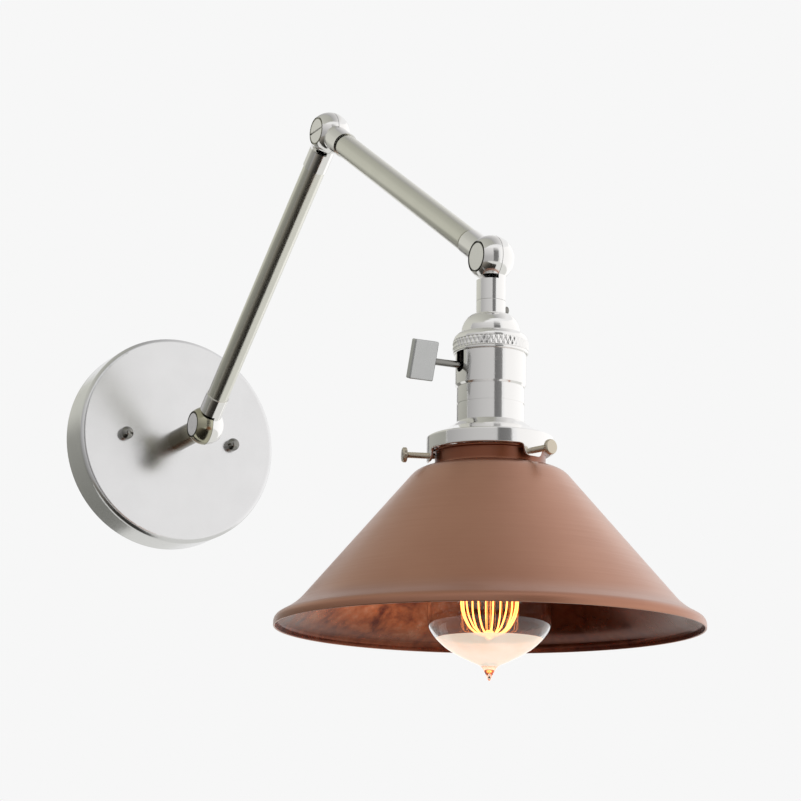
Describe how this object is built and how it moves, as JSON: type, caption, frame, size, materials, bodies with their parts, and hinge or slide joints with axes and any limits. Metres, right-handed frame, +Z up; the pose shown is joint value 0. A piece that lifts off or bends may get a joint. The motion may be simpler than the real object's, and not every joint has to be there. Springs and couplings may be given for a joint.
{
  "type": "swing arm wall lamp",
  "caption": "Wall lamp with a round plate, folding arms on ball knuckles, a turn-switch socket, a copper cone shade and a clear bulb.",
  "frame": {"origin": "middle of the wall plate's back, on the wall, between the two wall box slots", "axes": "+Y into the wall, -Y out of it, +Z up, both arms in the plane X = 0"},
  "size_m": [0.2032, 0.4863, 0.3368],
  "materials": {
    "brushed_nickel": "satin brushed nickel plate",
    "polished_nickel": "bright polished nickel plate",
    "dark_nickel": "dark polished nickel",
    "plated_steel": "zinc plated",
    "copper": "raw copper, matt outside and oxidised inside",
    "brass": "plain brass",
    "fibre": "grey insulating fibre",
    "black_moulding": "moulded thermoset",
    "clear_glass": "clear blown glass",
    "filament": "glowing carbon filament"
  },
  "bodies": {
    "wall_mount": {"canopy": "brushed_nickel", "crossbar": "plated_steel", "canopy_studs": "plated_steel", "cap_nuts": "dark_nickel", "ground_screw": "plated_steel", "base_nipple": "plated_steel", "base_lock_washer": "plated_steel", "base_lock_nut": "plated_steel", "base_ball_stem_half": "brushed_nickel"},
    "lower_arm": {"base_ball_arm_half": "brushed_nickel", "lower_tube": "brushed_nickel", "elbow_ball_lower_half": "brushed_nickel", "base_pivot_screw": "brushed_nickel", "base_pivot_nut": "brushed_nickel", "base_wave_washer": "plated_steel", "elbow_pivot_screw": "brushed_nickel", "elbow_pivot_nut": "brushed_nickel", "elbow_wave_washer": "plated_steel"},
    "upper_arm": {"elbow_ball_upper_half": "brushed_nickel", "upper_tube": "brushed_nickel", "head_ball_arm_half": "brushed_nickel"},
    "lamp_head": {"head_ball_socket_half": "brushed_nickel", "head_pivot_screw": "brushed_nickel", "head_pivot_nut": "brushed_nickel", "head_wave_washer": "plated_steel", "head_nipple": "plated_steel", "socket_cap": "polished_nickel", "cap_set_screw": "dark_nickel", "socket_shell": "polished_nickel", "insulating_liner": "fibre", "socket_block": "black_moulding", "terminal_screws": "brass", "screw_shell": "brass", "centre_contact": "brass", "shade_holder": "polished_nickel", "holder_ring_nut": "polished_nickel", "shade": "copper"},
    "switch_key": {"switch_cam": "black_moulding", "key_shaft": "polished_nickel", "key_paddle": "brushed_nickel"},
    "back_thumbscrew": {"thumbscrew_back": "dark_nickel"},
    "left_thumbscrew": {"thumbscrew_left": "dark_nickel"},
    "front_thumbscrew": {"thumbscrew_front": "dark_nickel"},
    "bulb": {"bulb_base": "brass", "bulb_insulator": "black_moulding", "bulb_contact": "brass", "bulb_glass": "clear_glass", "glass_mount": "clear_glass", "support_wires": "plated_steel", "filament": "filament"}
  },
  "joints": [
    {"name": "base_fold", "type": "hinge", "parent": "wall_mount", "child": "lower_arm", "pos_m": [0, -0.0612, 0], "axis": [-1, 0, 0], "range_deg": [-40, 50]},
    {"name": "elbow_fold", "type": "hinge", "parent": "lower_arm", "child": "upper_arm", "pos_m": [0, -0.2246, 0.12951], "axis": [1, 0, 0], "range_deg": [-84, 26]},
    {"name": "head_tilt", "type": "hinge", "parent": "upper_arm", "child": "lamp_head", "pos_m": [0, -0.39413, 0.00814], "axis": [-1, 0, 0], "range_deg": [-42, 118]},
    {"name": "switch_turn", "type": "hinge", "parent": "lamp_head", "child": "switch_key", "pos_m": [0, -0.39127, -0.04649], "axis": [1, 0, 0], "continuous": true},
    {"name": "bulb_out", "type": "slide", "parent": "lamp_head", "child": "bulb", "axis": [0, 0.0523, -0.9986], "range_m": [0, 0.026]},
    {"name": "back_thumbscrew_out", "type": "slide", "parent": "lamp_head", "child": "back_thumbscrew", "axis": [0.7466, 0.6643, 0.0348], "range_m": [0, 0.003]},
    {"name": "left_thumbscrew_out", "type": "slide", "parent": "lamp_head", "child": "left_thumbscrew", "axis": [-0.9494, 0.3136, 0.0164], "range_m": [0, 0.003]},
    {"name": "front_thumbscrew_out", "type": "slide", "parent": "lamp_head", "child": "front_thumbscrew", "axis": [0.2028, -0.9779, -0.0512], "range_m": [0, 0.003]}
  ]
}
